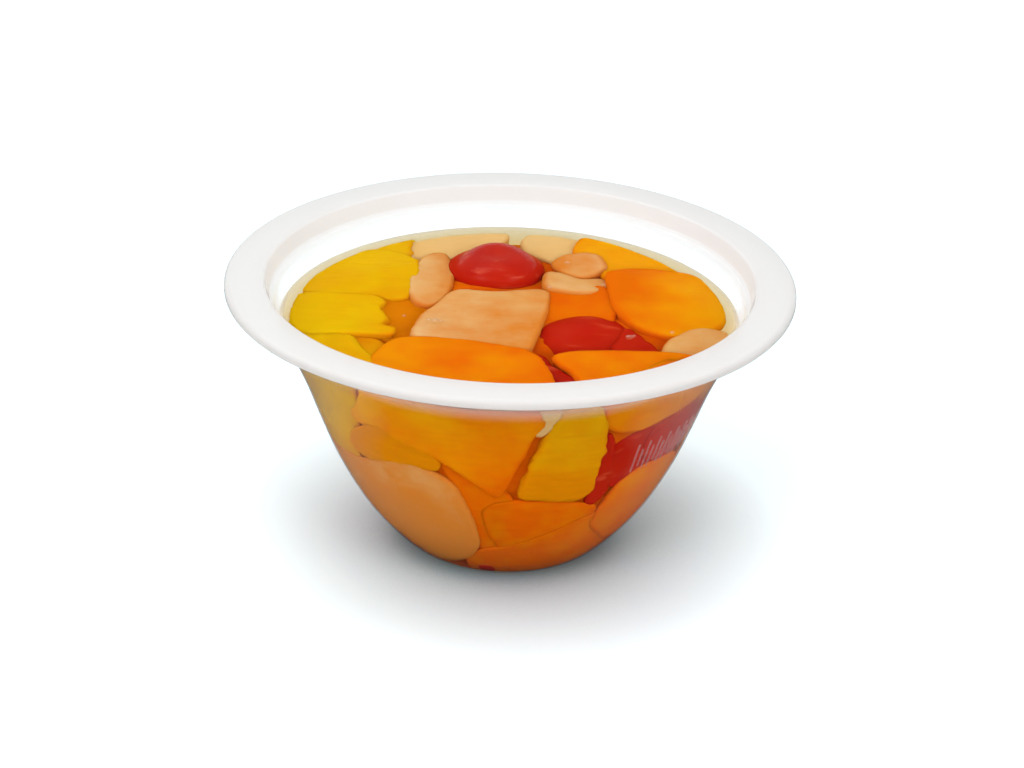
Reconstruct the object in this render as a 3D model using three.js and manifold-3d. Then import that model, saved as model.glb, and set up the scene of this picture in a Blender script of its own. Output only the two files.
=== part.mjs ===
// A single-serve fruit cup: a clear thin-walled plastic bowl with a wide sealing flange, filled almost to its
// step with diced peach, pear and pineapple and a few cherries. Millimetres, +Z up, standing on z = 0.

import * as THREE from 'three';
import { mergeVertices } from 'three/addons/utils/BufferGeometryUtils.js';
import Module from 'manifold-3d';

const wasm = await Module();
wasm.setup();

// Driving dimensions
const RIM_DIAMETER = 95; // over the flange
const CUP_HEIGHT = 47.6;
const MOUTH_DIAMETER = 81.6; // inside the flange
const WALL = 0.8;
const SKIRT_DEPTH = 1.6; // the flange's turned-down edge
const STEP_HEIGHT = 43.9; // the ledge just below the lip
const SYRUP_LEVEL = 40.4;
const CLEARANCE = 0.3; // between pieces that touch

const CUP_SIDES = 56;
const FILL_SIDES = 40;

// Outer face of the bowl, [radius, height], from the edge of its flat base to the step
const BOWL_FACE = [
  [14.8, 0], [17.2, 0.6], [21.4, 4.8], [25.4, 10.2], [29.3, 17.5], [32.1, 24.4], [34.7, 31.4], [37.8, 38.3],
  [39.7, 42.4], [40.1, STEP_HEIGHT - 0.3],
];
const BOWL_STEPS = 12;
const FILL_STEPS = 8;

const faceCurve = new THREE.SplineCurve(BOWL_FACE.map(([r, z]) => new THREE.Vector2(r, z)));

// The bowl's face moved inward by a distance, as profile points from the base up
function bowlProfile(inward, steps) {
  const points = [];
  for (let i = 0; i <= steps; i++) {
    const along = faceCurve.getTangent(i / steps);
    const point = faceCurve.getPoint(i / steps);
    points.push(new THREE.Vector2(point.x - along.y * inward, point.y + along.x * inward));
  }
  return points;
}

function lathe(points, sides) {
  return new THREE.LatheGeometry(points, sides).rotateX(Math.PI / 2);
}

// Rounded corner of a profile, clockwise or anticlockwise by the signs of its angles
function corner(x, z, radius, from, to, steps) {
  return Array.from({ length: steps + 1 }, (_, i) => {
    const angle = THREE.MathUtils.degToRad(from + ((to - from) * i) / steps);
    return new THREE.Vector2(x + radius * Math.cos(angle), z + radius * Math.sin(angle));
  });
}

function cupGeometry() {
  const rim = RIM_DIAMETER / 2;
  const mouth = MOUTH_DIAMETER / 2;
  const edge = 0.9; // rounding of the flange's outer edge
  const lip = 0.5; // rounding where the flange turns down into the mouth
  const underside = CUP_HEIGHT - WALL;
  const outer = bowlProfile(0, BOWL_STEPS);
  const inner = bowlProfile(WALL, BOWL_STEPS).reverse();
  inner[inner.length - 1].y = WALL;
  return lathe([
    new THREE.Vector2(0, 0),
    ...outer,
    new THREE.Vector2(mouth + 0.2, STEP_HEIGHT + 0.6),
    new THREE.Vector2(mouth + WALL, underside),
    new THREE.Vector2(rim - WALL, underside),
    new THREE.Vector2(rim - WALL, CUP_HEIGHT - SKIRT_DEPTH),
    new THREE.Vector2(rim, CUP_HEIGHT - SKIRT_DEPTH),
    ...corner(rim - edge, CUP_HEIGHT - edge, edge, 0, 90, 3),
    ...corner(mouth + lip, CUP_HEIGHT - lip, lip, 90, 180, 2),
    new THREE.Vector2(mouth - 0.7, STEP_HEIGHT + 1),
    ...inner,
    new THREE.Vector2(0, WALL),
  ], CUP_SIDES);
}

// Closed mesh to a Manifold solid and back
function toSolid(geometry) {
  const bare = geometry.clone();
  bare.deleteAttribute('normal');
  bare.deleteAttribute('uv');
  const merged = mergeVertices(bare, 1e-3);
  const corners = merged.index.array;
  const triangles = [];
  for (let i = 0; i < corners.length; i += 3) {
    const [a, b, c] = corners.slice(i, i + 3);
    if (a !== b && b !== c && c !== a) triangles.push(a, b, c);
  }
  return new wasm.Manifold(new wasm.Mesh({
    numProp: 3,
    vertProperties: Float32Array.from(merged.attributes.position.array),
    triVerts: Uint32Array.from(triangles),
  }));
}

function toGeometry(solid) {
  const mesh = solid.getMesh();
  const geometry = new THREE.BufferGeometry();
  geometry.setAttribute('position', new THREE.BufferAttribute(mesh.vertProperties, 3));
  geometry.setIndex(new THREE.BufferAttribute(mesh.triVerts, 1));
  geometry.computeVertexNormals();
  return geometry;
}

// The room inside the bowl, kept a distance off its inner face, up to a height
function roomInside(gap, top) {
  const points = bowlProfile(WALL + gap, FILL_STEPS).filter(({ y }) => y < top - 0.5);
  const low = WALL + gap;
  points[0].y = low;
  const last = points[points.length - 1];
  return toSolid(lathe([new THREE.Vector2(0, low), ...points, new THREE.Vector2(last.x + 0.2, top),
    new THREE.Vector2(0, top)], FILL_SIDES));
}

// A cut piece of fruit: an outline with rounded edges, extruded down from z = 0
function slab(outline, thick, round) {
  const shape = new THREE.Shape(outline.map(([x, y]) => new THREE.Vector2(x, y)));
  const straight = thick - 2 * round;
  return new THREE.ExtrudeGeometry(shape, {
    depth: straight, bevelEnabled: true, bevelThickness: round, bevelSize: round, bevelOffset: -round,
    bevelSegments: 2, steps: 1,
  }).translate(0, 0, round - thick);
}

function middle(outline) {
  const sum = outline.reduce(([a, b], [x, y]) => [a + x, b + y], [0, 0]);
  return sum.map((value) => value / outline.length);
}

// Pieces whose tops show in the mouth: plan outline, height of the top face, thickness, lean in degrees
// about X and about Y, and edge rounding
const TOP_PIECES = {
  pineappleBackLeft: [
    [[-37, 11], [-37, 17], [-33, 25], [-23, 27], [-17, 23.5], [-17, 12], [-20.7, 7.2], [-24, 9]],
    39.6, 13, 2, 0, 1.5],
  pineappleLeft: [[[-37, 7.5], [-23, 8.3], [-20.3, -2], [-19, -8], [-35, -9]], 39.8, 12, -3, 0, 1],
  pineappleTip: [[[-25, 26], [-20.5, 33.7], [-18.3, 34.5], [-18.3, 26]], 39.6, 12, 4, 0, 1],
  pearBackLeft: [[[-34, 26], [-28.5, 33], [-25.3, 28], [-25.5, 24.5]], 39.4, 12, 0, -4, 1],
  pearBack: [[[-18.5, 32], [-11, 37.4], [-3, 39], [-2, 34], [-12.5, 25], [-17.5, 25.8]], 39.2, 13, 4, 0, 1.2],
  pearStanding: [[[-16.5, 22], [-13.5, 27], [-11.5, 26], [-10.8, 12], [-13.5, 5.8], [-16.5, 9]],
    38.7, 12, 0, 7, 1.2],
  pearMiddle: [
    [[-11.8, 9], [-8.5, 12.4], [-2, 11.9], [5.1, 13.8], [7, 12], [3.2, -12.5], [-15.5, -8.7]],
    39.2, 12, -2, 2, 1.2],
  pearBackRight: [[[3, 32], [5, 37.5], [9, 39], [12.4, 32], [9, 25.5], [5, 28]], 39.2, 13, 3, 0, 1.2],
  pearRight: [[[26, -12.5], [28, -6], [32.5, -2.8], [37, -5], [36, -13], [29, -15.3]], 39.2, 10, 3, 0, 1.5],
  pearBitBack: [[[7.5, 23], [9, 27.3], [14, 28], [16.5, 22], [12, 18.3]], 39.4, 8, 8, -8, 0.8],
  pearBitMiddle: [[[7, 20], [12, 17.5], [16, 17.5], [14, 12.4], [7, 14]], 38.9, 8, -8, 6, 0.8],
  peachBitFront: [[[7, 13.5], [15.5, 13.5], [16.5, 7], [15.5, 0.5], [7, -0.5]], 38.7, 10, 3, -6, 1],
  peachBackRight: [[[12.5, 29], [15, 36.5], [24, 33], [31.5, 25.5], [28, 20.3], [17.5, 19.5]],
    39.7, 13, 3, 3, 1.5],
  peachRight: [[[17, 19], [24, 21], [33.5, 18.5], [37, 8], [35, -0.5], [27, -5], [20, 0.5]],
    39.7, 14, 4, 2, 1.5],
  peachFront: [
    [[-23, -20], [-19.5, -11], [-16, -9.3], [-6, -10], [3, -12.8], [6.5, -19], [8, -27], [8, -38], [-12, -38],
      [-28, -29]],
    40, 17, -2, 0, 2.5],
  peachFrontRight: [[[7.5, -15], [15, -13], [29, -13.5], [36, -17], [30, -27], [20, -32], [12, -27]],
    39.8, 9, 5, 0, 1.2],
  pineappleSunk: [[[-22, 5], [-19, 7.6], [-14.3, 6.5], [-16.5, -8.5], [-21, -7]], 38.3, 10, 0, 8, 0.8],
  pineappleFrontLeft: [[[-38, -11], [-23, -9.3], [-21, -13], [-24, -21], [-34, -24]], 39.4, 12, -5, 0, 1.2],
  peachUnder: [[[-14, -9], [3, -14], [6, 1], [-8, 4]], 8, 8, 0, 0, 1.5],
  pearUnder: [[[5, -13], [16, -4], [13, 9], [8, 2]], 8, 8, 0, 0, 1.5],
  peachUnderBack: [[[-15, 6], [6, 3], [12, 10], [0, 16], [-12, 13]], 8, 8, 0, 0, 1.5],
};

function topPiece([outline, top, thick, leanX, leanY, round]) {
  const [x, y] = middle(outline);
  const centred = outline.map(([a, b]) => [a - x, b - y]);
  return slab(centred, thick, round)
    .rotateX(THREE.MathUtils.degToRad(leanX))
    .rotateY(THREE.MathUtils.degToRad(leanY))
    .translate(x, y, top);
}

// Pieces that lie against the wall: outline as [bearing in degrees from the front, height], and depth inward.
// Those at the back and the sides stop short of the surface, under the pieces that show there.
const WALL_PIECES = {
  peachLarge: [
    [[-41, 40], [9.5, 40], [9, 37.5], [5.5, 32.5], [-1, 23.5], [-7, 24], [-20, 29.4], [-34, 31.3], [-45, 32]],
    11],
  peachUpperRight: [[[25.5, 39.8], [66, 39.8], [68, 36.5], [46, 35], [32, 34.8], [26.4, 37]], 8],
  peachStrip: [[[-18, 28], [-2, 21.6], [-4, 18], [0, 10], [-8, 8], [-12, 21]], 9],
  peachLow: [[[-4, 18], [5, 20.2], [29, 17.8], [28, 15.6], [1, 10.2]], 10],
  peachLowRight: [[[34, 18], [37, 21.5], [46, 24], [64, 23.5], [70, 16], [61, 7], [46, 8], [33, 13.5]], 11],
  peachBottom: [[[0, 9], [27, 14.4], [33, 15], [47, 8], [44, 3], [10, 1.6], [-13, 2.5], [-12, 7]], 9],
  pineappleWedge: [[[11, 40], [24, 40], [28, 32], [28, 22], [22, 20.8], [4.6, 22], [7, 29.3]], 9],
  pineappleFold: [[[-52, 27], [-37, 33.3], [-20, 30], [-20, 26.6], [-44, 24.4]], 6],
  pineappleEnd: [[[-77, 39.5], [-44, 40], [-43, 37], [-54, 27], [-54, 23.5], [-75, 23.5], [-79, 30]], 9],
  pearOval: [
    [[-72, 20.5], [-52, 22.7], [-37, 25.7], [-24, 26.3], [-14.5, 23], [-10, 12], [-15, 6.3], [-37, 2.6],
      [-52, 5], [-74, 12.5]],
    12],
  cherrySlice: [[[48, 34.8], [79, 36], [81, 33], [76, 28], [62, 24], [51, 25.4]], 6],
  peachSide: [[[71, 35.5], [80, 34.2], [96, 35.2], [103, 31], [98, 22.5], [84, 17.5], [73, 19.5]], 11],
  pearSide: [[[100, 34.2], [113, 35.6], [132, 34.6], [142, 28.5], [136, 23.5], [118, 25], [104, 27.5]], 10],
  pineappleBack: [[[141, 33.7], [158, 35.4], [170, 34], [176, 28], [173, 19.5], [158, 15.5], [147, 18]], 9],
  peachBack: [[[173, 35], [190, 33.9], [207, 35.6], [216, 31], [204, 26], [186, 24.3], [176, 28]], 11],
  pineappleFar: [[[214, 33.7], [230, 35], [246, 33.5], [253, 27], [242, 21.5], [226, 19], [215, 25]], 9],
  pearFarSide: [[[248, 35.2], [266, 34], [282, 35.6], [287, 30], [277, 25.5], [262, 27], [251, 30]], 10],
  pearLow: [[[73, 20], [88, 15.5], [99, 20.5], [106, 14], [101, 6.3], [88, 2.8], [76, 5], [70, 11]], 9],
  peachLowBack: [[[101, 26.5], [135, 23.5], [146, 17], [139, 8.4], [124, 4], [109, 5.8], [105, 14]], 10],
  pearLowBack: [
    [[144, 19], [158, 12.5], [170, 18], [181, 22], [195, 24], [203, 17], [195, 9.3], [178, 3], [160, 3.5]],
    10],
  pineappleLow: [[[201, 26.5], [215, 25], [222, 17], [231, 19], [237, 12], [229, 5.2], [212, 2.8]], 9],
  peachLowSide: [
    [[227, 18.5], [243, 22], [257, 27], [278, 25], [295, 20.5], [299, 11], [284, 4.2], [262, 2.6],
      [241, 5.6]],
    10],
};

const WALL_REACH = 3; // how far these start outside the wall before they are trimmed to it

// Radius of the bowl's inner face at a height
function innerRadius(height) {
  const points = bowlProfile(WALL, BOWL_STEPS);
  const k = Math.max(1, points.findIndex(({ y }) => y >= height));
  const [a, b] = [points[k - 1], points[k]];
  return a.x + ((b.x - a.x) * (height - a.y)) / (b.y - a.y);
}

function wallPiece([outline, depth]) {
  const [bearing, height] = middle(outline);
  const radius = innerRadius(height);
  const lean = Math.atan2(innerRadius(height + 2) - innerRadius(height - 2), 4);
  const flat = outline.map(([b, z]) => {
    const across = THREE.MathUtils.degToRad(b - bearing) * innerRadius(z);
    return [across, (z - height) / Math.cos(lean)];
  });
  return slab(flat, depth + WALL_REACH, 1)
    .translate(0, 0, WALL_REACH)
    .rotateX(Math.PI / 2 + lean)
    .translate(0, -radius, height)
    .rotateZ(THREE.MathUtils.degToRad(bearing));
}

// A cherry: a squat ball with a stem dimple, [x, y, z of its middle, width, height, lean about X, about Y]
const CHERRIES = {
  cherry_top: [-2.7, 22, 36.4, 17.4, 13, 6, -4],
  cherry_front: [13.2, -5.2, 32.6, 20, 13.5, 14, 8],
  cherry_side: [20.9, -21.4, 29.6, 19, 13, 62, 20],
  cherry_back: [-13.2, 18.8, 21.7, 16, 13.5, -50, -35],
};

const CHERRY_RINGS = 10;
const CHERRY_SIDES = 20;
const DIMPLE_DEPTH = 1;
const DIMPLE_RADIUS = 3.2;

function cherryGeometry([x, y, z, width, height, leanX, leanY], grow) {
  const points = Array.from({ length: CHERRY_RINGS + 1 }, (_, i) => {
    const angle = -Math.PI / 2 + (Math.PI * i) / CHERRY_RINGS;
    const r = (width / 2 + grow) * Math.cos(angle);
    const dimple = angle > 0 ? DIMPLE_DEPTH * Math.exp(-((r / DIMPLE_RADIUS) ** 2)) : 0;
    return new THREE.Vector2(Math.max(0, r), (height / 2 + grow) * Math.sin(angle) - dimple);
  });
  points[0].x = 0;
  points[CHERRY_RINGS].x = 0;
  return lathe(points, CHERRY_SIDES)
    .rotateX(THREE.MathUtils.degToRad(leanX))
    .rotateY(THREE.MathUtils.degToRad(leanY))
    .translate(x, y, z);
}

const CORE_GAP = 3; // from the wall to the heap's plain core
const CORE_TOP = 36;

// A cherry, flattened where it presses against the wall
function cherrySolid(cherry) {
  return toSolid(cherryGeometry(cherry, 0)).intersect(roomInside(CLEARANCE, STEP_HEIGHT));
}

function heapGeometry() {
  const pieces = [
    ...Object.values(TOP_PIECES).map(topPiece),
    ...Object.values(WALL_PIECES).map(wallPiece),
  ];
  let heap = pieces.reduce((sum, piece) => sum.add(toSolid(piece)), roomInside(CORE_GAP, CORE_TOP));
  heap = heap.intersect(roomInside(CLEARANCE, SYRUP_LEVEL));
  for (const cherry of Object.values(CHERRIES)) {
    heap = heap.subtract(toSolid(cherryGeometry(cherry, CLEARANCE)));
  }
  return toGeometry(heap);
}

function part(name, geometry, color, roughness) {
  const mesh = new THREE.Mesh(geometry, new THREE.MeshStandardMaterial({ color, roughness, metalness: 0 }));
  mesh.name = name;
  return mesh;
}

const fruitCup = new THREE.Group();
fruitCup.add(part('cup', cupGeometry(), 0xf2f0ee, 0.2));
fruitCup.add(part('fruit_heap', heapGeometry(), 0xe8941c, 0.35));
for (const [name, cherry] of Object.entries(CHERRIES)) {
  fruitCup.add(part(name, toGeometry(cherrySolid(cherry)), 0xc4201a, 0.25));
}

export default fruitCup;
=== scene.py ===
import math

import bmesh
import bpy
from mathutils import Euler, Matrix, Vector, noise


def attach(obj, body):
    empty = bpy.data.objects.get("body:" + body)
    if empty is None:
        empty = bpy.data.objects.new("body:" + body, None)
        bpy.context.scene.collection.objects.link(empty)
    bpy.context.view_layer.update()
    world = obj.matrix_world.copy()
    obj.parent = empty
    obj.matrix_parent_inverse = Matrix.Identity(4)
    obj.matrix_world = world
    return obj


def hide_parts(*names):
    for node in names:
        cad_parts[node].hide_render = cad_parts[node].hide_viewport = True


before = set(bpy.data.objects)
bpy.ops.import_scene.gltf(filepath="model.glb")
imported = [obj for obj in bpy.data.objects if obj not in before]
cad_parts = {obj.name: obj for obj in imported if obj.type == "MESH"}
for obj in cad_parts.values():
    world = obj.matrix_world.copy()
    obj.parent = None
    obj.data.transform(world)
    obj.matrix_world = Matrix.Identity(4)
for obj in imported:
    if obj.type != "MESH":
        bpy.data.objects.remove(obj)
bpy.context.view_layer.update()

# ---------------------------------------------------------------------------------------------------------
# The cup. One thin sheet of clear polypropylene, drawn into a bowl with a small flat base, a stacking step
# just below its mouth, and a wide flat flange with a turned-down edge that a film lid was sealed to.
# ---------------------------------------------------------------------------------------------------------
MM = 0.001

RIM_RADIUS = 47.5
CUP_HEIGHT = 47.6
MOUTH_RADIUS = 40.8
WALL = 0.8
SKIRT_DEPTH = 1.6
STEP_HEIGHT = 43.9
BASE_FLAT = 8
BOWL_FACE = [
    (14.8, 0), (17.2, 0.6), (21.4, 4.8), (25.4, 10.2), (29.3, 17.5), (32.1, 24.4), (34.7, 31.4), (37.8, 38.3),
    (39.7, 42.4), (40.1, STEP_HEIGHT - 0.3),
]
BOWL_STEPS = 60
AROUND = 144


def through(points, share):
    """The point at a share of the smooth curve through a list of points."""
    place = share * (len(points) - 1)
    k = min(int(place), len(points) - 2)
    t = place - k
    p0, p1, p2, p3 = (Vector(points[min(max(i, 0), len(points) - 1)]) for i in range(k - 1, k + 3))
    v1, v2 = (p2 - p0) / 2, (p3 - p1) / 2
    return (2 * p1 - 2 * p2 + v1 + v2) * t**3 + (3 * p2 - 3 * p1 - 2 * v1 - v2) * t**2 + v1 * t + p1


def bowl_profile(inward, steps):
    """The bowl's outer face moved inward by a distance, as [radius, height] from the base up."""
    points = []
    for i in range(steps + 1):
        share, near = i / steps, 1e-4
        before, after = max(share - near, 0), min(share + near, 1)
        along = (through(BOWL_FACE, after) - through(BOWL_FACE, before)).normalized()
        points.append(through(BOWL_FACE, share) + inward * Vector((-along.y, along.x)))
    return points


def arc(centre, radius, start, end, steps):
    """Points on a round corner, with its angles in degrees."""
    turns = [math.radians(start + (end - start) * i / steps) for i in range(steps + 1)]
    return [Vector(centre) + radius * Vector((math.cos(a), math.sin(a))) for a in turns]


def spun(profile, around=AROUND):
    """A bmesh of a profile in millimetres, [radius, height], turned about Z."""
    bm = bmesh.new()
    verts = [bm.verts.new((r * MM, 0, z * MM)) for r, z in profile]
    edges = [bm.edges.new(pair) for pair in zip(verts, verts[1:])]
    bmesh.ops.spin(bm, geom=verts + edges, cent=(0, 0, 0), axis=(0, 0, 1), angle=math.tau, steps=around,
                   use_merge=True)
    bmesh.ops.remove_doubles(bm, verts=bm.verts, dist=1e-6)
    bmesh.ops.recalc_face_normals(bm, faces=bm.faces)
    return bm


def piece(name, bm, material):
    """A bmesh as a smooth object of one material that rides on the cup's body."""
    mesh = bpy.data.meshes.new(name)
    bm.to_mesh(mesh)
    bm.free()
    mesh.materials.append(material)
    mesh.shade_smooth()
    made = bpy.data.objects.new(name, mesh)
    bpy.context.collection.objects.link(made)
    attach(made, "root")
    return made


def cup_profile():
    """The sheet as [radius, height], out along its underside and back over its upper side."""
    rim_round, lip_round, root_round, skirt_round, tip_round = 0.9, 0.5, 0.5, 0.4, 0.3
    step_outside = (MOUTH_RADIUS - 0.3, STEP_HEIGHT + 1.1)
    step_inside = (MOUTH_RADIUS - 1.1, STEP_HEIGHT + 1.2)
    under, skirt_end, skirt_inside = CUP_HEIGHT - WALL, CUP_HEIGHT - SKIRT_DEPTH, RIM_RADIUS - WALL
    inner = bowl_profile(WALL, BOWL_STEPS)
    inner[0].y = WALL
    return [
        Vector((0, 0)), Vector((BASE_FLAT, 0)), *bowl_profile(0, BOWL_STEPS),
        *arc(step_outside, 0.6, -50, 0, 3),
        *arc((MOUTH_RADIUS + WALL + root_round, under - root_round), root_round, 180, 90, 4),
        *arc((skirt_inside - skirt_round, under - skirt_round), skirt_round, 90, 0, 4),
        Vector((skirt_inside, skirt_end + 0.1)),
        *arc((RIM_RADIUS - tip_round, skirt_end + tip_round), tip_round, 230, 360, 5),
        *arc((RIM_RADIUS - rim_round, CUP_HEIGHT - rim_round), rim_round, 0, 90, 8),
        *arc((MOUTH_RADIUS + lip_round, CUP_HEIGHT - lip_round), lip_round, 90, 180, 5),
        *arc(step_inside, 0.4, 0, -60, 3),
        *reversed(inner), Vector((BASE_FLAT, WALL)), Vector((0, WALL)),
    ]


class Nodes:
    """Short ways to add nodes to a material or a world. Each input is a value or another node's output."""

    def __init__(self, owner):
        owner.use_nodes = True
        self.owner = owner
        self.tree = owner.node_tree
        self.tree.nodes.clear()

    def feed(self, socket, value):
        if isinstance(value, bpy.types.NodeSocket):
            self.tree.links.new(value, socket)
        else:
            socket.default_value = value

    def node(self, kind, **inputs):
        made = self.tree.nodes.new("ShaderNode" + kind)
        for name, value in inputs.items():
            self.feed(made.inputs[name.replace("_", " ")], value)
        return made

    def attribute(self, name, output):
        made = self.node("Attribute")
        made.attribute_name = name
        return made.outputs[output]

    def maths(self, operation, first, second):
        made = self.node("Math")
        made.operation = operation
        self.feed(made.inputs[0], first)
        self.feed(made.inputs[1], second)
        return made.outputs[0]

    def colours(self, share, first, second, way="MIX"):
        made = self.node("Mix")
        made.data_type, made.blend_type = "RGBA", way
        for place, value in ((0, share), (6, first), (7, second)):
            self.feed(made.inputs[place], value)
        return made.outputs[2]

    def mix(self, share, first, second):
        made = self.node("MixShader", Fac=share)
        self.feed(made.inputs[1], first.outputs[0])
        self.feed(made.inputs[2], second.outputs[0])
        return made

    def end(self, shader, output="OutputMaterial", **others):
        self.node(output, Surface=shader.outputs[0], **others)
        return self.owner


WHITE = (1, 1, 1, 1)
MILK = (0.91, 0.895, 0.885, 1)
PLASTIC_SHINE_INDEX = 1.12
# Where the painted sheen on the bowl's silhouettes starts above the base, and how fast it rises
EDGE_SHEEN_START = 0.006
EDGE_SHEEN = 50.0


def clear_plastic(name, hazes):
    """Clear sheet that is hazy where it is thick and dry, with a painted sheen: it turns milkier seen
    edge-on, a little above the base, standing in for the reflection that pales the bowl's silhouettes.

    The hazes are pairs of height and share of haze.
    """
    sheet = Nodes(bpy.data.materials.new(name))
    where = sheet.node("TexCoord").outputs["Object"]
    height = sheet.node("SeparateXYZ", Vector=where).outputs["Z"]
    haze = sheet.node("ValToRGB", Fac=sheet.maths("DIVIDE", height, CUP_HEIGHT * MM))
    haze.color_ramp.interpolation = "EASE"
    stops = haze.color_ramp.elements
    while len(stops) < len(hazes):
        stops.new(0.5)
    for stop, (level, share) in zip(stops, hazes):
        stop.position = level / CUP_HEIGHT
        stop.color = (share, share, share, 1)
    # Painted sheen: a milky layer where the sheet is seen edge-on, for the reflection that pales the
    # silhouettes
    edge_on = sheet.maths("SUBTRACT", sheet.node("LayerWeight", Blend=0.5).outputs["Facing"], 0.5)
    rising = sheet.maths("MULTIPLY", sheet.maths("SUBTRACT", height, EDGE_SHEEN_START), EDGE_SHEEN)
    edge_sheen = sheet.maths("MULTIPLY", sheet.maths("MAXIMUM", edge_on, 0.0), rising)

    ripple = sheet.node("TexNoise", Vector=where, Scale=90.0, Detail=3.0, Roughness=0.5)
    bump = sheet.node("Bump", Height=ripple.outputs["Fac"], Strength=0.06, Distance=0.0006).outputs["Normal"]
    lit = sheet.node("BsdfDiffuse", Color=MILK, Normal=bump)
    glowing = sheet.node("BsdfTranslucent", Color=MILK, Normal=bump)
    cloudiness = sheet.maths("MAXIMUM", haze.outputs["Color"], edge_sheen)
    film = sheet.mix(cloudiness, sheet.node("BsdfTransparent", Color=WHITE), sheet.mix(0.5, lit, glowing))
    shine = sheet.node("BsdfGlossy", Color=WHITE, Roughness=0.08, Normal=bump)
    fresnel = sheet.node("Fresnel", IOR=PLASTIC_SHINE_INDEX, Normal=bump).outputs[0]
    outside = sheet.maths("SUBTRACT", fresnel, sheet.node("NewGeometry").outputs["Backfacing"])
    return sheet.end(sheet.mix(sheet.maths("MAXIMUM", outside, 0.0), film, shine))


plastic = clear_plastic("clear_polypropylene", ((39, 0), (41.4, 0.24), (43.8, 0.5), (44.8, 0.84)))
cup = piece("cup_shell", spun(cup_profile()), plastic)
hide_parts("cup")

# Fine moulded ribs on one side of the bowl, some of them shorter below or above
RIBS = 15
RIB_BEARINGS = (39, 68)
RIB_HEIGHTS = (24.4, 30.2)
RIB_SHORTER = (0.9, 1.4)
RIB_WIDTH = 0.28
RIB_DEPTH = 0.22
RIB_SUNK = 0.02
RIB_ROUND = 0.06
RIB_HAZE = 0.16


def face_radius(inward, steps=80):
    """The radius of one face of the bowl as a function of height."""
    table = bowl_profile(inward, steps)

    def radius(height):
        for (r0, z0), (r1, z1) in zip(table, table[1:]):
            if z1 >= height:
                return r0 + (r1 - r0) * max(0.0, height - z0) / (z1 - z0)
        return table[-1].x

    return radius


outer_radius = face_radius(0)
bm = bmesh.new()
for i in range(RIBS):
    turn = math.radians(RIB_BEARINGS[0] + (RIB_BEARINGS[1] - RIB_BEARINGS[0]) * i / (RIBS - 1))
    low, high = RIB_HEIGHTS[0] + RIB_SHORTER[0] * (i % 3 == 1), RIB_HEIGHTS[1] - RIB_SHORTER[1] * (i % 2)
    lean = math.atan2(outer_radius(high) - outer_radius(low), high - low)
    level = (low + high) / 2
    place = (
        Matrix.Rotation(turn, 4, "Z")
        @ Matrix.Translation((0, -(outer_radius(level) - RIB_SUNK) * MM, level * MM))
        @ Matrix.Rotation(lean, 4, "X")
        @ Matrix.Diagonal((RIB_WIDTH * MM, RIB_DEPTH * MM, (high - low) / math.cos(lean) * MM, 1))
    )
    bmesh.ops.create_cube(bm, size=1, matrix=place)
bmesh.ops.bevel(bm, geom=bm.edges[:], offset=RIB_ROUND * MM, offset_type="OFFSET", segments=2, profile=0.5,
                affect="EDGES", material=-1)
ribs = piece("cup_ribs", bm, clear_plastic("rib_polypropylene", ((0, RIB_HAZE), (CUP_HEIGHT, RIB_HAZE))))
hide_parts("cup")

# ---------------------------------------------------------------------------------------------------------
# The syrup. Light amber fruit syrup fills the bowl to just below the step, and reaches into the wall's
# thickness, so that no air shows between the two.
# ---------------------------------------------------------------------------------------------------------
SYRUP_LEVEL = 40.4
INTO_WALL = 0.6
SYRUP_INDEX = 1.36
CALM_SHARE = 0.92
SYRUP_DEPTH_TINT = (0.97, 0.72, 0.1, 1)
SYRUP_DENSITY = 115.0
CREAM = (0.66, 0.52, 0.3, 1)
CREAM_EDGE = 0.8

bowl_radius = face_radius(WALL)


def syrup_profile():
    """The liquid's outline from the middle of its floor up the wall and back over its still surface."""
    floor, under_edge = WALL - INTO_WALL, 0.3
    edge = bowl_radius(SYRUP_LEVEL) + INTO_WALL
    side = [p for p in bowl_profile(floor, BOWL_STEPS) if p.y < SYRUP_LEVEL - under_edge]
    side[0].y = floor
    surface = [Vector((edge * share, SYRUP_LEVEL)) for share in (1, 0.98, 0.9, 0.6, 0.3, 0)]
    return [Vector((0, floor)), *side, *surface]


def fruit_syrup():
    """Clear amber liquid that lets light through to the fruit, with a creamy edge where it meets the wall."""
    liquid = Nodes(bpy.data.materials.new("fruit_syrup"))
    glass = liquid.node("BsdfPrincipled", Base_Color=WHITE, Roughness=0.0, IOR=SYRUP_INDEX,
                        Transmission_Weight=1.0)
    still = liquid.node("BsdfRefraction", Color=WHITE, Roughness=0.0, IOR=SYRUP_INDEX)
    clear = liquid.node("BsdfTransparent", Color=WHITE)
    creamy = liquid.mix(CREAM_EDGE, clear, liquid.node("BsdfTranslucent", Color=CREAM))
    calm = liquid.mix(CALM_SHARE, glass, still)
    body = liquid.mix(liquid.node("NewGeometry").outputs["Backfacing"], calm, creamy)
    tint = liquid.node("VolumeAbsorption", Color=SYRUP_DEPTH_TINT, Density=SYRUP_DENSITY)
    surface = liquid.mix(liquid.node("LightPath").outputs["Is Shadow Ray"], body, clear)
    return liquid.end(surface, Volume=tint.outputs[0])


syrup = piece("fruit_syrup", spun(syrup_profile()), fruit_syrup())

# Small air bubbles on the surface, as [x, y, radius], where they rose along the fruit
BUBBLES = [(-13.4, -3.4, 0.5), (-12.3, -3.7, 0.7), (-11.4, -3.5, 0.4), (6.7, 11.6, 0.5), (19.8, -8, 0.6),
           (20.6, -7.4, 0.35), (16, 13.2, 0.4), (-17.6, -1.8, 0.35), (9.8, 22.4, 0.45), (27, -5.6, 0.4)]
BUBBLE_RISE = 0.3
BUBBLE_FLATNESS = 0.6


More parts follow.
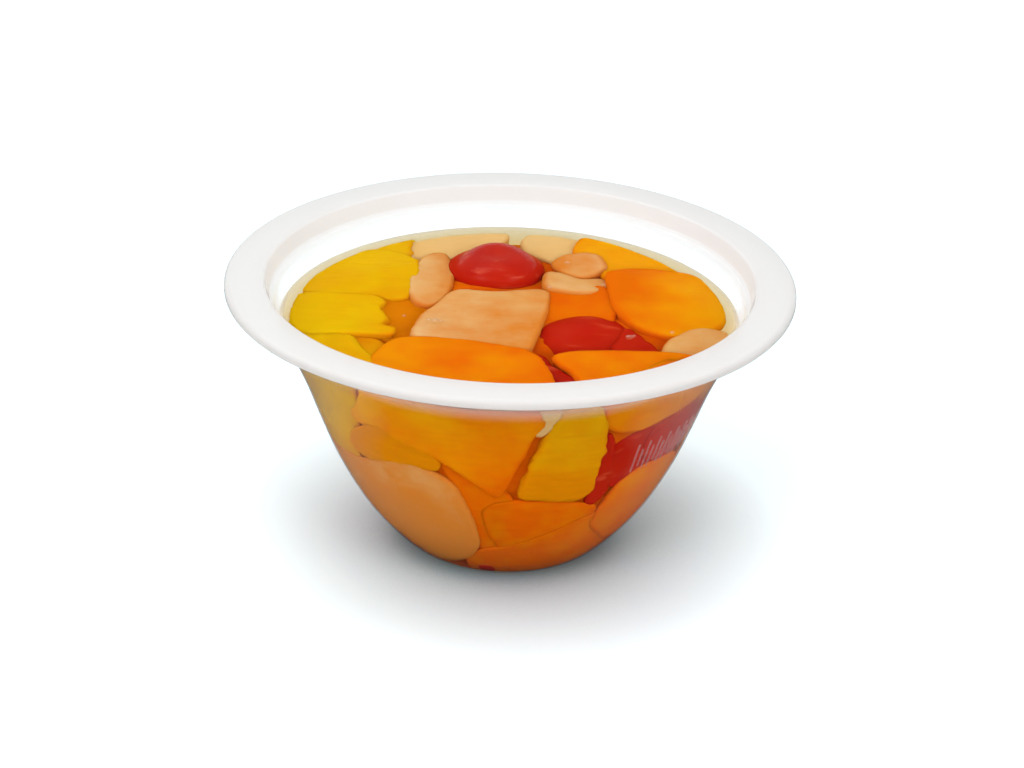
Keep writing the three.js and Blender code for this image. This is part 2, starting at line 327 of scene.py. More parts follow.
def air_in_syrup():
    """A bubble's thin skin: clear in the middle, bright round its rim."""
    air = Nodes(bpy.data.materials.new("air_in_syrup"))
    shell = air.node("BsdfGlossy", Color=(1, 0.93, 0.8, 1), Roughness=0.1)
    rim = air.node("LayerWeight", Blend=0.35).outputs["Facing"]
    inside = air.node("BsdfTransparent", Color=(1, 0.97, 0.9, 1))
    return air.end(air.mix(air.maths("MULTIPLY", rim, 0.8), inside, shell))


bm = bmesh.new()
for x, y, radius in BUBBLES:
    place = Matrix.Translation((x * MM, y * MM, (SYRUP_LEVEL + BUBBLE_RISE * radius) * MM))
    flattened = place @ Matrix.Diagonal((1, 1, BUBBLE_FLATNESS, 1))
    bmesh.ops.create_icosphere(bm, subdivisions=3, radius=radius * MM, matrix=flattened)
bubbles = piece("air_bubbles", bm, air_in_syrup())

# ---------------------------------------------------------------------------------------------------------
# The peach. Yellow cling peaches, peeled, stoned and diced: firm orange pieces with crisp cut faces, one
# smooth rounded outer face here and there, and fine fibres that fray along the edges.
# ---------------------------------------------------------------------------------------------------------
GRID = 0.58
WALL_GAP = 0.2
SURFACE_GAP = 0.1
UNDER_TOP_PIECES = 32.0
BEHIND_WALL_PIECES = 1.4
BEHIND_TOP_PIECES = 0.25
BEHIND_REACH = 2.5
CUT_EDGE_ROUND = 0.45
UNDERCUT = 0.92
SWOLLEN = 0.25
SWELL_SIZE = 8
STRAND_SIZE = (6, 1.2, 1.2)
FRAY_SIZE = (4, 1.5, 1.5)
# How much deeper the steep sides of every piece are painted: a painted shade for the crevices between pieces
SIDE_PAINTED_SHADE = 0.5


def pulled_in(point, reach):
    """A point moved toward the cup's axis so that it lies within a radius."""
    out = math.hypot(point.x, point.y)
    if out > reach:
        point.x *= reach / out
        point.y *= reach / out
    return point


def middle(outline):
    """The mean of an outline's corners."""
    return Vector([sum(values) / len(outline) for values in zip(*outline)])


def wider(outline, by):
    """An outline pushed out from its middle by a distance, to reach under the pieces that lie over it."""
    centre = middle(outline)
    return [Vector(p) + (Vector(p) - centre).normalized() * by for p in outline]


def blunted(outline, share=0.18):
    """An outline with every corner cut off a little way along the two sides that meet in it."""
    corners = zip(outline[-1:] + outline[:-1], outline, outline[1:] + outline[:1])
    return [corner.lerp(other, share) for before, corner, after in corners for other in (before, after)]


def prism(outline, thick, edge_round):
    """A bmesh of an outline in millimetres extruded down from z = 0, narrower below, with round edges."""
    bm = bmesh.new()
    face = bm.faces.new([bm.verts.new((x * MM, y * MM, 0)) for x, y in blunted(outline)])
    grown = bmesh.ops.extrude_face_region(bm, geom=[face])["geom"]
    lower = [v for v in grown if isinstance(v, bmesh.types.BMVert)]
    bmesh.ops.translate(bm, verts=lower, vec=(0, 0, -thick * MM))
    bmesh.ops.scale(bm, verts=lower, vec=(UNDERCUT, UNDERCUT, 1))
    bmesh.ops.recalc_face_normals(bm, faces=bm.faces)
    bmesh.ops.bevel(bm, geom=bm.edges[:], offset=edge_round * MM, offset_type="OFFSET", segments=3,
                    profile=0.5, affect="EDGES", material=-1, clamp_overlap=True)
    return bm


def from_above(outline, top, thick, lean_x, lean_y, under=0.0, in_front=False, edge_round=CUT_EDGE_ROUND):
    """A piece whose top shows in the mouth and reaches some way under its neighbours.

    It is held back from the wall where other pieces lie on that, unless it is in front of them.
    """
    centre = middle(outline)
    turn = Euler((math.radians(lean_x), math.radians(lean_y), 0)).to_matrix()

    def lay(local):
        point = turn @ local + Vector((*centre, top))
        above = 0 if in_front else min(max(point.z - UNDER_TOP_PIECES, 0), 1)
        held_back = BEHIND_WALL_PIECES + (BEHIND_TOP_PIECES - BEHIND_WALL_PIECES) * above
        return pulled_in(point, bowl_radius(point.z) - WALL_GAP - held_back)

    return prism([p - centre for p in wider(outline, under)], thick, edge_round), lay


def at_wall(outline, thick, behind=0.0, edge_round=CUT_EDGE_ROUND):
    """A piece bent to lie against the wall, or some way behind the ones that overlap it.

    Its outline is [bearing from the front in degrees, height].
    """
    bearing, height = middle(outline)
    flat = [Vector((math.radians(b - bearing) * bowl_radius(z), z - height)) for b, z in outline]

    def lay(local):
        z = height + local.y
        wall = bowl_radius(z)
        turn = math.radians(bearing) + local.x / wall
        r = wall - WALL_GAP - behind + min(local.z, 0)
        return Vector((r * math.sin(turn), -r * math.cos(turn), z))

    return prism(wider(flat, BEHIND_REACH * behind), thick, edge_round), lay


def stretched(point, sizes):
    """A point measured in grains of the given sizes."""
    return Vector([value / size for value, size in zip(point, sizes)])


def grown_piece(bm, lay, tone, tone_and_shade_drift=(0, 0), *, relief, fibre, fray):
    """The piece as a fine even mesh with its own relief, laid in its place inside the bowl.

    Tone runs from pale at 0 to deep at 1, and tone_and_shade_drift is its change over each 10 mm across and
    up
    the piece: partly the fruit's own change of colour, partly painted shade, deeper toward the bottom of the
    pieces on the wall and toward the front and the right of some in the mouth. Steep sides are painted deeper
    still, a painted shade for the crevices between pieces.
    Relief is how far it swells, fibre how deep its strands are and fray how far they stick out at its ends.
    """
    cage = bpy.data.meshes.new("cage")
    bm.to_mesh(cage)
    bm.free()
    holder = bpy.data.objects.new("cage", cage)
    bpy.context.collection.objects.link(holder)
    remesh = holder.modifiers.new("even", "REMESH")
    remesh.mode = "VOXEL"
    remesh.voxel_size = GRID * MM
    soften = holder.modifiers.new("soften", "SMOOTH")
    soften.iterations = 2
    mesh = bpy.data.meshes.new_from_object(holder.evaluated_get(bpy.context.evaluated_depsgraph_get()))
    bpy.data.objects.remove(holder)
    bpy.data.meshes.remove(cage)
    start = lay(Vector((0, 0, 0))) + Vector((tone * 50, 0, 0))
    grain, tones, points = [], [], []
    for v in mesh.vertices:
        local, facing = v.co / MM, v.normal
        swell = noise.noise(local / SWELL_SIZE + start)
        thread = noise.noise(stretched(local, STRAND_SIZE) + start)
        end = (facing.x**2 + 0.4 * facing.y**2) * noise.noise(stretched(local, FRAY_SIZE) - start)
        point = lay(local + facing * (SWOLLEN + relief * swell + fibre * thread + fray * end))
        point.z = min(max(point.z, WALL + WALL_GAP), SYRUP_LEVEL - SURFACE_GAP)
        # Painted shade: the steeper the face, the deeper its tone, for the shade in the crevices between
        # pieces
        side = 1 - facing.z**2
        grain.extend(local + start)
        tones.append(tone + SIDE_PAINTED_SHADE * side + (tone_and_shade_drift[0] * local.x + tone_and_shade_drift[1] * local.y) / 10)
        points.extend(point * MM)
    mesh.attributes.new("grain", "FLOAT_VECTOR", "POINT").data.foreach_set("vector", grain)
    mesh.attributes.new("tone", "FLOAT", "POINT").data.foreach_set("value", tones)
    mesh.vertices.foreach_set("co", points)
    return mesh


def joined(name, meshes, material):
    """Meshes as one object of one material that rides on the cup's body."""
    bm = bmesh.new()
    for mesh in meshes:
        bm.from_mesh(mesh)
        bpy.data.meshes.remove(mesh)
    return piece(name, bm, material)


FLESH_BLUR = 0.0008


def wet_fruit(name, pale, deep, soft, blur, fibre_bump, strands):
    """Wet cut fruit: two colours mixed by tone and by clouds, soft scatter, and fibres along the grain."""
    flesh = Nodes(bpy.data.materials.new(name))
    grain = flesh.attribute("grain", "Vector")
    cloud = flesh.node("TexNoise", Vector=grain, Scale=0.14, Detail=4.0, Roughness=0.55).outputs["Fac"]
    uneven = flesh.maths("MULTIPLY", flesh.maths("SUBTRACT", cloud, 0.5), 1.2)
    depth = flesh.maths("ADD", uneven, flesh.attribute("tone", "Fac"))
    along = flesh.node("Mapping", Vector=grain, Scale=(0.12, 1.0, 1.0)).outputs[0]
    fibres = flesh.node("TexNoise", Vector=along, Scale=1.6, Detail=5.0, Roughness=0.6).outputs["Fac"]
    colour = flesh.colours(strands, flesh.colours(depth, (*pale, 1), (*deep, 1)), fibres, "MULTIPLY")
    bump = flesh.node("Bump", Height=fibres, Strength=fibre_bump, Distance=0.0004).outputs["Normal"]
    return flesh.end(flesh.node(
        "BsdfPrincipled", Base_Color=colour, Roughness=0.35, IOR=1.38, Normal=bump, Subsurface_Weight=soft,
        Subsurface_Radius=blur, Subsurface_Scale=FLESH_BLUR, Specular_IOR_Level=0.0))


# Each piece is its shape and place, then its tone and the tone's drift, which is partly painted shade
PEACH = [
    # Bit in the middle, at the right
    (from_above([(6.2, 14.7), (11.1, 12.3), (15.4, 14.3), (17.4, 8.7), (16.2, 0), (11, -1.4), (6.2, -1.6)],
                37.9, 10, 3, -6, 1.5), 0.9),
    # Back right
    (from_above([(11.6, 28.7), (13.6, 35.2), (15.9, 37.2), (19.4, 36.4), (23.8, 34), (28.2, 31.2), (32, 26.4),
                 (32, 21.2), (28.1, 19.6), (22.5, 20.1), (17.2, 18.5), (15.6, 24.1)], 38.8, 13, 3, 3, 1.2),
     -0.1, (-0.3, 0.1)),
    # Large one at the right
    (from_above([(16.3, 19.6), (19.9, 21.1), (24.3, 21.4), (29.5, 20.5), (34.2, 18.4), (36.8, 14.1),
                 (37.6, 8.3), (36.5, 1), (33.5, -3.3), (30.1, -4.8), (26.2, -5.3), (22.2, -3.2), (19.5, 0.4),
                 (17.3, 6.2)], 39.3, 14, 4, 2), 0.5, (-0.6, 0.15)),
    # Large one in front
    (from_above([(-23.4, -20.1), (-21.9, -15.8), (-20.5, -12), (-18.7, -9.8), (-16.6, -8.9), (-13, -8.3),
                 (-6.4, -9.4), (-1.4, -11.1), (2.7, -12.3), (5.1, -15), (6.7, -19.7), (7.8, -27), (8.3, -38),
                 (-12, -38), (-28, -29)], 39.8, 17, -1, 0, 0, True, 0.9), 0.75, (0.15, 0)),
    # Front right
    (from_above([(6.8, -14.4), (10.8, -12.8), (14.9, -12.5), (19.8, -12.2), (24.7, -12.3), (30, -13),
                 (36, -16.5), (30, -27), (20, -32), (13, -30), (11.5, -23.7), (10, -20), (7.4, -16.8)],
                39.4, 9, 5, 0, 0, True), 0.9, (0.1, 0)),
    # Deep, under the middle
    (from_above([(-14, -9), (3, -14), (6, 1), (-8, 4)], 8, 8, 0, 0), 0.8),
    # Deep, under the back
    (from_above([(-15, 6), (6, 3), (12, 10), (0, 16), (-12, 13)], 8, 8, 0, 0), 0.8),
    # The face on the wall of the large one in front
    (at_wall([(-38, 40), (9.7, 40), (9.7, 38), (6.7, 35.5), (5.7, 32.5), (2.7, 28), (-0.3, 23.5), (-2, 21.6),
              (-7, 23.7), (-14, 26.9), (-20, 29.1), (-32, 30.7), (-38, 32.8), (-45, 32), (-46, 34.5),
              (-42, 36), (-41, 38)], 11), 0.5, (0.14, -0.4)),
    # Upper right on the wall
    (at_wall([(25, 40), (37, 40), (53, 40), (66, 39.5), (70, 36.5), (57, 35), (46, 34.6), (39, 33.6),
              (32, 34.4), (25.8, 36.6)], 8, 0.15), 0.5),
    # Thin strip under the large one
    (at_wall([(-19, 28.6), (-14, 26.6), (-7, 23.8), (-2, 21.6), (-0.5, 20.3), (-4.5, 18.2), (-1.5, 13.4),
              (0, 9.3), (-8, 8), (-11, 16.1), (-13, 21.6), (-16, 24.7)], 9, 0.8), 0.9),
    # Low in front
    (at_wall([(-1, 19.8), (5, 20.2), (18, 19.6), (30, 17.8), (29, 16), (22, 13.8), (10, 11.6), (1, 9.8),
              (-3, 13.9), (-5, 18.4)], 10, 0.6), 0.95),
    # Low at the front right
    (at_wall([(33.5, 18), (36.5, 21.8), (45, 24.4), (63, 23.8), (72, 20), (72, 12), (61, 5.8), (46, 7.2),
              (31, 13.4)], 11), 0.85, (0, -0.2)),
    # Bottom of the front
    (at_wall([(0, 9.2), (14, 11.8), (27, 15), (34, 16), (49, 8), (47, 2.6), (36, 1.4), (10, 1.2), (-16, 1.2),
              (-16, 5.5), (-8, 8.5)], 9, 0.35), 1.0, (0, -0.2)),
    # Deep, behind the gaps in front
    (at_wall([(-8, 34), (14, 38), (34, 30), (36, 16), (20, 10), (-4, 12), (-12, 22)], 6, 1.7), 1.2),
    # High on the right side
    (at_wall([(70, 36), (80, 34.5), (97, 35.5), (104, 31), (99, 22), (84, 17), (72, 19)], 11, 0.5), 0.6),
    # High at the back
    (at_wall([(172, 35.5), (190, 34.2), (208, 36), (217, 31), (205, 25.6), (186, 23.8), (175, 28)], 11, 0.15),
     0.5, (0.2, 0)),
    # Low at the back right
    (at_wall([(100, 27), (112, 25.5), (136, 24), (147, 17), (140, 8), (124, 3.5), (108, 5.4), (104, 14)],
             10, 0.9), 0.8),
    # Low on the left side
    (at_wall([(226, 19), (243, 22.5), (257, 27.5), (279, 25.5), (296, 21), (300, 11), (285, 3.6), (262, 2),
              (240, 5), (232, 12)], 10, 0.8), 0.8, (0, -0.2)),
]

peach_flesh = wet_fruit("peach_flesh", pale=(0.85, 0.43, 0.002), deep=(0.76, 0.17, 0.0006), soft=0.7,
                        blur=(1.0, 0.95, 0.6), fibre_bump=0.35, strands=0.2)
peach = joined(
    "peach_pieces",
    [grown_piece(*made, *tone, relief=0.25, fibre=0.1, fray=0.2) for made, *tone in PEACH], peach_flesh)
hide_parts("fruit_heap")

# ---------------------------------------------------------------------------------------------------------
# The pear. Peeled, cored and diced pears: pale straw pieces, a little translucent and faintly gritty, with
# edges that the syrup has softened. The largest lies flat in the middle of the mouth.
# ---------------------------------------------------------------------------------------------------------
PEAR = [
    # Back left
    (from_above([(-34.5, 26), (-33, 29.6), (-31, 32.2), (-28.3, 33.6), (-26.2, 31.8), (-24.8, 27.9),
                 (-25.2, 24), (-30, 23.7)], 38.4, 12, 0, -4, 1.5), 0.2),
    # Back
    (from_above([(-19.2, 32.2), (-16, 35.6), (-11.1, 38), (-6.7, 39.2), (-3.4, 39.6), (-1.3, 37.6),
                 (-1.8, 33.4), (-5.3, 30), (-9.6, 27), (-12.5, 24.1), (-15.3, 24.4), (-18, 25.2)],
                38.2, 13, 4, 0, 1), -0.3),
    # On edge, left of the cherry at the back
    (from_above([(-11.2, 27.1), (-9.8, 21), (-10.3, 13.6), (-11.1, 7.9), (-13.4, 5), (-15.9, 6.2),
                 (-17.3, 11), (-17.2, 17.5), (-15.6, 24.3), (-13.5, 27.3)], 38.6, 12, 0, 9, 0.6),
     0.6, (0.5, 0)),
    # Large one in the middle
    (from_above([(-12.4, 5.4), (-10.5, 10.2), (-8.5, 12.2), (-2, 11.6), (5.1, 13.6), (7.1, 12.6), (6.8, 7.7),
                 (5.9, 0.2), (4.8, -6.6), (3.5, -13), (-1.4, -12.6), (-8, -11.1), (-11.4, -9.7), (-16.3, -9),
                 (-15.8, -4), (-14.7, 1.4)], 38.9, 12, -2, 2), 0.65, (0.15, -0.1)),
    # Back, right of the cherry
    (from_above([(2.6, 33.7), (4, 36.9), (6, 38.5), (8.7, 39.5), (11.7, 37.6), (12.7, 32.1), (12.3, 26.8),
                 (8.6, 24.8), (5.8, 27.3), (3, 29)], 38.3, 13, 3, 0, 1), -0.3),
    # Two bits right of that cherry
    (from_above([(6.8, 24.1), (9, 27.3), (13, 28.5), (15.7, 27.3), (16.8, 22.1), (15.5, 19.8), (12, 17.8),
                 (8.6, 20.2)], 39.2, 8, 8, -8), 0.75, (-0.3, 0.3)),
    (from_above([(6.4, 20.8), (9.4, 20.1), (12, 17.2), (15.7, 18.8), (16.8, 15.4), (14, 11.8), (10.3, 12),
                 (6.4, 13.5)], 38.6, 8, -8, 6, 0.7), 0.5),
    # Right
    (from_above([(25.4, -12.7), (27.1, -7.2), (29.9, -3.4), (32.5, -2), (36.4, -4), (37.4, -9.5), (34, -14.4),
                 (28.2, -16)], 38.2, 10, 3, 0, 1), 0.5),
    # Deep, under the middle
    (from_above([(5, -13), (16, -4), (13, 9), (8, 2)], 8, 8, 0, 0), 0.5),
    # Large oval, low at the front left
    (at_wall([(-73, 21.4), (-53, 22.9), (-38, 26), (-29, 27.2), (-21, 26.3), (-14.6, 24), (-12.6, 20.6),
              (-10.6, 16), (-9.1, 10.4), (-14, 5.8), (-37, 2), (-50, 4), (-76, 12)], 12, 0, 0.9),
     1.0, (0.1, -0.1)),
    # Scrap beside the pineapple wedge
    (at_wall([(5.6, 37), (8, 39), (9, 40), (13.4, 40), (12.4, 38.4), (10.8, 36.8), (8.5, 35.5)],
             5, 0.1), 0.3),
    # High on the right side
    (at_wall([(99, 34.5), (113, 36), (133, 35), (143, 28.5), (137, 23), (118, 24.5), (103, 27)],
             10), 0.4, (0.3, 0)),
    # High on the left side
    (at_wall([(247, 35.6), (266, 34.4), (283, 36), (288, 30), (278, 25), (262, 26.5), (250, 30)],
             10, 0.1), 0.5),
    # Low on the right side
    (at_wall([(72, 20.5), (88, 16), (100, 21), (107, 14), (102, 6), (88, 2.2), (75, 4.6), (69, 11)], 9), 0.8),
    # Low at the back
    (at_wall([(143, 19.5), (158, 13), (170, 18.5), (181, 22.5), (196, 24.4), (204, 17), (196, 9), (178, 2.4),
              (160, 3), (147, 8.5)], 10, 0.35), 0.7, (0, -0.2)),
]

pear_flesh = wet_fruit("pear_flesh", pale=(0.74, 0.61, 0.41), deep=(0.66, 0.27, 0.06), soft=0.7,
                       blur=(1.0, 0.9, 0.6), fibre_bump=0.2, strands=0.1)
pear = joined(
    "pear_pieces",
    [grown_piece(*made, *tone, relief=0.3, fibre=0.05, fray=0.1) for made, *tone in PEAR], pear_flesh)
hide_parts("fruit_heap")

# ---------------------------------------------------------------------------------------------------------
# The pineapple. Tidbits cut from cored rings: strong yellow and stringy along the grain, with ragged ends
# where the fibres were torn.
# ---------------------------------------------------------------------------------------------------------
PINEAPPLE = [
    # Back left
    (from_above([(-37, 10.3), (-37, 16.5), (-35.4, 21.6), (-32.9, 25), (-28.4, 26.8), (-23.5, 27.5),
                 (-20, 26.4), (-16.8, 23.8), (-16, 18.8), (-16.6, 12.3), (-17.7, 7.6), (-20.7, 6.5),
                 (-23.6, 8.6), (-29, 8.6), (-33.8, 8.7)], 39, 13, 2, 0, 0.5), 0.1, (0.12, -0.15)),
    # Left
    (from_above([(-36.6, 7.6), (-33.8, 8.9), (-28.2, 8.9), (-23, 8.4), (-21, 5.5), (-21.9, 2.9), (-20, -1.8),
                 (-21.2, -4.7), (-18.6, -5.4), (-19.1, -8.3), (-22.6, -8.6), (-27.9, -8.6), (-34, -9.3),
                 (-37, -4)], 39.5, 12, -3, 0), 0.15, (0.25, 0)),
    # Small tip at the back left
    (from_above([(-25.5, 26.1), (-23.1, 30.6), (-20.8, 34), (-18.5, 35.2), (-17.9, 30.7), (-18.1, 25.3),
                 (-21.3, 24.2)], 38.8, 12, 4, 0, 0.3), 0.1),
    # Sunk one with a ragged end
    (from_above([(-22, 8.4), (-19.1, 7.9), (-13.8, 7.3), (-14.8, 1.7), (-15.8, -4.8), (-16.3, -9.2),
                 (-19.8, -8.5), (-22, -6), (-21.9, -2.8), (-20.7, 0.5), (-22.4, 4.5)],
                37.6, 10, 0, 8, 1.5), 1.3),
    # Front left
    (from_above([(-38, -11), (-34.4, -9.3), (-27.8, -8.4), (-22.4, -8.8), (-20, -12.4), (-21.1, -15.6),
                 (-23, -20), (-27, -26), (-36, -22)], 38.8, 12, -5, 0, 0.8, True), 0.6),
    # Wedge in front
    (at_wall([(11, 38.4), (12.5, 40), (24, 40), (26.2, 36.6), (28.2, 31.8), (28.4, 27), (28.2, 21.9),
              (24, 20.2), (11, 21), (4.2, 21.9), (4.4, 23.9), (6.8, 29.3), (9.8, 34.6)], 9), 0.75, (0, -0.5)),
    # Fold at the front left
    (at_wall([(-53, 27), (-45, 31.2), (-37, 33.7), (-33, 32.8), (-31, 31.2), (-24, 30.8), (-18.6, 29),
              (-19.2, 26.4), (-29, 26.2), (-38, 25.2), (-44, 24), (-51, 24.5)], 4, 0, 0.3), 1.4, (-0.1, 0.2)),
    # End piece on the left side
    (at_wall([(-77, 39.6), (-43, 40), (-42, 37), (-47, 31.5), (-53, 27.5), (-51, 23.6), (-62, 22),
              (-76, 23.6), (-81, 30)], 9, 0.5), 0.2, (0.2, -0.2)),
    # High at the back right
    (at_wall([(140, 34), (158, 35.8), (171, 34.4), (177, 28), (174, 19), (158, 15), (146, 17.5), (139, 25)],
             9, 0.7), 0.4, (0.2, 0)),
    # High at the back left
    (at_wall([(213, 34), (230, 35.4), (247, 33.8), (254, 27), (243, 21), (225, 18.5), (214, 24.5)], 9, 0.6),
     0.3, (0, -0.2)),
    # Low at the back left
    (at_wall([(200, 27), (216, 25.6), (223, 17.5), (232, 19.5), (238, 12), (230, 4.6), (212, 2.2), (200, 6.4),
              (203, 16)], 9, 0.05), 0.7, (0, -0.2)),
]

pineapple_flesh = wet_fruit("pineapple_flesh", pale=(0.82, 0.57, 0.002), deep=(0.75, 0.3, 0.0006), soft=0.6,
                            blur=(1.0, 0.95, 0.6), fibre_bump=0.6, strands=0.26)
pineapple = joined(
    "pineapple_pieces",
    [grown_piece(*made, *tone, relief=0.3, fibre=0.2, fray=0.8) for made, *tone in PINEAPPLE],
    pineapple_flesh)
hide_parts("fruit_heap")

# ---------------------------------------------------------------------------------------------------------
# The cherries. Candied cherries: squat bright red balls with a glossy skin and a dimple where the stone was
# taken out, packed in among the pieces. A slice and a few torn shreds of them lie between.
# ---------------------------------------------------------------------------------------------------------
# Each cherry is its middle, its width and height, and its lean about X and Y in degrees
CHERRIES = {
    "cherry_top": ((-2.7, 22, 36.4), 17.4, 13, 6, -4),
    "cherry_front": ((13.2, -5.2, 32.6), 20, 13.5, 14, 8),
    "cherry_side": ((20.9, -21.4, 29.6), 19, 13, 62, 20),
    "cherry_back": ((-13.2, 18.8, 21.7), 16, 13.5, -50, -35),
}
CHERRY_BEHIND = 0.7
DIMPLE_DEPTH = 1.0
DIMPLE_RADIUS = 3.2
SKIN_UNEVEN = 0.35


def cherry_skin():
    """Candied skin: deep red with painted pale streak highlights that run along the fruit, glossy and a
    little wrinkled.
    """
    skin = Nodes(bpy.data.materials.new("cherry_skin"))
    where = skin.node("TexCoord").outputs["Object"]
    cloud = skin.node("TexNoise", Vector=where, Scale=260.0, Detail=3.0).outputs["Fac"]
    red = skin.colours(cloud, (0.5, 0.02, 0.005, 1), (0.4, 0.005, 0.0015, 1))
    # Painted highlight: pale streaks along the fruit, put into the skin's colour
    along = skin.node("Mapping", Vector=where, Scale=(0.25, 1.0, 1.6)).outputs[0]
    streak_noise = skin.node("TexNoise", Vector=along, Scale=340.0, Detail=3.0).outputs["Fac"]
    painted_highlight = skin.node("MapRange", Value=streak_noise, From_Min=0.6, From_Max=0.78, To_Max=0.55).outputs[0]
    wrinkle = skin.node("TexNoise", Vector=where, Scale=420.0, Detail=4.0).outputs["Fac"]
    bump = skin.node("Bump", Height=wrinkle, Strength=0.15, Distance=0.0004).outputs["Normal"]
    streaked_red = skin.colours(painted_highlight, red, (0.72, 0.16, 0.09, 1))
    return skin.end(skin.node(
        "BsdfPrincipled", Base_Color=streaked_red, Roughness=0.25, IOR=1.4, Normal=bump, Subsurface_Weight=0.4,
        Subsurface_Radius=(1.0, 0.15, 0.1), Subsurface_Scale=0.0025, Specular_IOR_Level=0.1))


def cherry_profile(width, height):
    """Half a cherry's outline, from its foot up to the dimple where the stone was taken out."""
    points = []
    for degrees in range(-90, 95, 5):
        angle = math.radians(degrees)
        r = max(0.0, width / 2 * math.cos(angle))
        dimple = DIMPLE_DEPTH * math.exp(-((r / DIMPLE_RADIUS) ** 2)) if angle > 0 else 0
        points.append(Vector((r, height / 2 * math.sin(angle) - dimple)))
    points[0].x = points[-1].x = 0
    return points


skin = cherry_skin()
for name, (centre, width, height, lean_x, lean_y) in CHERRIES.items():
    bm = spun(cherry_profile(width, height), 64)
    turn = Euler((math.radians(lean_x), math.radians(lean_y), 0)).to_matrix().to_4x4()
    bmesh.ops.transform(bm, matrix=Matrix.Translation(Vector(centre) * MM) @ turn, verts=bm.verts)
    for v in bm.verts:
        v.co += v.normal * SKIN_UNEVEN * MM * noise.noise(v.co * 150)
        pulled_in(v.co, (bowl_radius(v.co.z / MM) - WALL_GAP - CHERRY_BEHIND) * MM)
    cherry = piece(name + "_skin", bm, skin)
    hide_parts(name)

# Two shreds in the mouth, one beside the pineapple wedge, one at the base, and the slice on the wall
SHREDS = [
    from_above([(19, -2.5), (20.5, -2.3), (23.3, -7.6), (25.3, -11.2), (21.5, -13), (17, -12.4)],
               37.9, 4, 0, 10, 0.5),
    from_above([(4.8, -13), (6.4, -14.4), (7.2, -17.4), (9.3, -19.5), (11.1, -20.9), (9.6, -23.2),
                (6.7, -21.1), (5.5, -17.9)], 37.6, 6, 0, 0, 1, True),
    at_wall([(27.5, 34), (31, 31), (31, 26), (33, 21.5), (30, 19.4), (27.5, 20.5)], 4, 0.6),
    at_wall([(-13, 1.2), (-12, 3), (-6, 3), (-5, 1.2)], 3),
    at_wall([(44, 32), (54, 34.4), (66, 35.4), (79, 35.2), (82, 32.5), (76, 28), (62, 24), (51, 24.6),
             (44, 27)], 6, 0.3),
]
shreds = joined(
    "cherry_shreds", [grown_piece(*made, 0.5, relief=0.3, fibre=0.1, fray=0.3) for made in SHREDS], skin)
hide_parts("fruit_heap")

# ---------------------------------------------------------------------------------------------------------
# The deep of the heap. Smaller bits of peach, packed close, fill the middle of the cup and show only in the
# gaps between the pieces.
# ---------------------------------------------------------------------------------------------------------
CORE_GAP = 3
CORE_FLOOR = 1.8
CORE_TOP = 36
CORE_EDGE = (2, 1)

side = [p for p in bowl_profile(WALL + CORE_GAP, 40) if p.y < CORE_TOP - CORE_EDGE[1]]
side[0].y = CORE_FLOOR
top = [Vector((r, CORE_TOP)) for r in (side[-1].x - CORE_EDGE[0], 20, 10, 0)]
bm = spun([Vector((0, CORE_FLOOR)), *side, *top], 96)
bits = grown_piece(bm, lambda local: local.copy(), 1.0, relief=1.6, fibre=0.3, fray=0)
core = joined("peach_bits", [bits], peach_flesh)
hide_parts("fruit_heap")

# ---------------------------------------------------------------------------------------------------------
# The stand. A plain pale table with a painted shadow that darkens it close to the cup, a white tent and three
# round soft lamps over it, and the camera.
# ---------------------------------------------------------------------------------------------------------
# The table's painted shadow: its reach, how it fades and leans to the right, and its deepest and open shades
# per channel, set apart to keep it grey
SHADE_REACH = 0.025
SHADE_FALLOFF = 0.635
SHADE_LEAN = 4.5
SHADE_DEEPEST = {"Red": 0.24, "Green": 0.32, "Blue": 0.35}
OPEN_TABLE = {"Red": 1.08, "Green": 1.24, "Blue": 1.31}
TABLE_SEEN_BY_FRUIT = (0.13, 0.13, 0.13, 1)

# Painted shadow: the table's colour is darkened where an occlusion node finds the cup close by
pale_table = Nodes(bpy.data.materials.new("pale_table"))
near = pale_table.node("AmbientOcclusion", Distance=SHADE_REACH)
near.samples = 12
clear_of_cup = pale_table.node("MapRange", Value=near.outputs["AO"], From_Min=0.25, From_Max=1.0).outputs[0]
across = pale_table.node("SeparateXYZ", Vector=pale_table.node("TexCoord").outputs["Object"]).outputs["X"]
falloff = pale_table.maths("ADD", pale_table.maths("MULTIPLY", across, SHADE_LEAN), SHADE_FALLOFF)
fading = pale_table.maths("POWER", clear_of_cup, falloff)
painted_shadow_colour = pale_table.node("CombineColor")
for channel, deepest in SHADE_DEEPEST.items():
    shade = pale_table.node("MapRange", Value=fading, To_Min=deepest, To_Max=OPEN_TABLE[channel])
    pale_table.feed(painted_shadow_colour.inputs[channel], shade.outputs[0])
rays = pale_table.node("LightPath").outputs
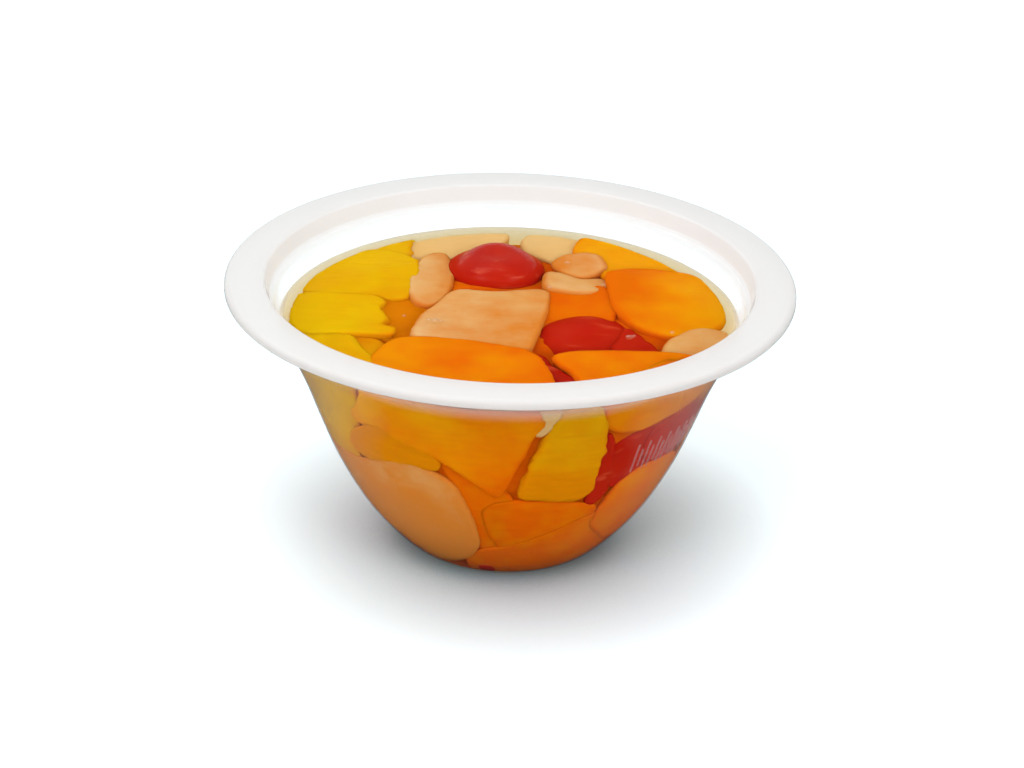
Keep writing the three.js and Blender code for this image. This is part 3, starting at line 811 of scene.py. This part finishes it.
# Camera and transmission rays see the pale table with its painted shadow; other rays see a dark one
direct = pale_table.maths("MAXIMUM", rays["Is Camera Ray"], rays["Is Transmission Ray"])
pale_table.end(pale_table.mix(direct, pale_table.node("BsdfDiffuse", Color=TABLE_SEEN_BY_FRUIT),
                              pale_table.node("BsdfDiffuse", Color=painted_shadow_colour.outputs[0])))
bm = bmesh.new()
bmesh.ops.create_grid(bm, x_segments=1, y_segments=1, size=4)
mesh = bpy.data.meshes.new("table")
bm.to_mesh(mesh)
bm.free()
mesh.materials.append(pale_table.owner)
table = bpy.data.objects.new("table", mesh)
bpy.context.collection.objects.link(table)

# A white tent: dimmer overhead, and dimmer all over in the gloss
tent = Nodes(bpy.data.worlds.new("tent"))
above = tent.node("SeparateXYZ", Vector=tent.node("TexCoord").outputs["Generated"]).outputs["Z"]
in_gloss = tent.node("LightPath").outputs["Is Glossy Ray"]
horizon = tent.node("MapRange", Value=in_gloss, To_Min=0.95, To_Max=0.3).outputs[0]
fade = tent.node("MapRange", Value=above, From_Min=0.3, From_Max=0.8, To_Min=horizon, To_Max=0.63)
fade.interpolation_type = "SMOOTHSTEP"
backdrop = tent.node("Background", Color=WHITE, Strength=fade.outputs[0])
bpy.context.scene.world = tent.end(backdrop, "OutputWorld")


LAMP_AIM = Vector((0, 0, 0.02))


def soft_box(name, size, energy, place):
    """A round soft lamp aimed at the cup, with its size in metres and its energy in watts."""
    lamp = bpy.data.lights.new(name, "AREA")
    lamp.shape = "DISK"
    lamp.size = size
    lamp.energy = energy
    made = bpy.data.objects.new(name, lamp)
    made.location = place
    made.rotation_euler = (LAMP_AIM - Vector(place)).to_track_quat("-Z", "Y").to_euler()
    bpy.context.collection.objects.link(made)


soft_box("overhead", 0.8, 1.7, (-0.28, 0.28, 1.0))
soft_box("front_left", 0.5, 3.2, (-0.45, -0.7, 0.6))
soft_box("front_right", 0.5, 2.4, (0.5, -0.65, 0.55))

camera = bpy.data.objects.new("camera", bpy.data.cameras.new("camera"))
camera.data.lens = 96.152
camera.data.sensor_width = 36
camera.location = (0, -0.417656, 0.229549)
camera.rotation_euler = [math.radians(a) for a in (64.1832, -1.4342, 0.5946)]
bpy.context.collection.objects.link(camera)
bpy.context.scene.camera = camera

scene = bpy.context.scene
scene.view_settings.view_transform = "Standard"
scene.cycles.use_denoising = True
scene.cycles.max_bounces = 12
scene.cycles.transmission_bounces = 10
scene.cycles.transparent_max_bounces = 14
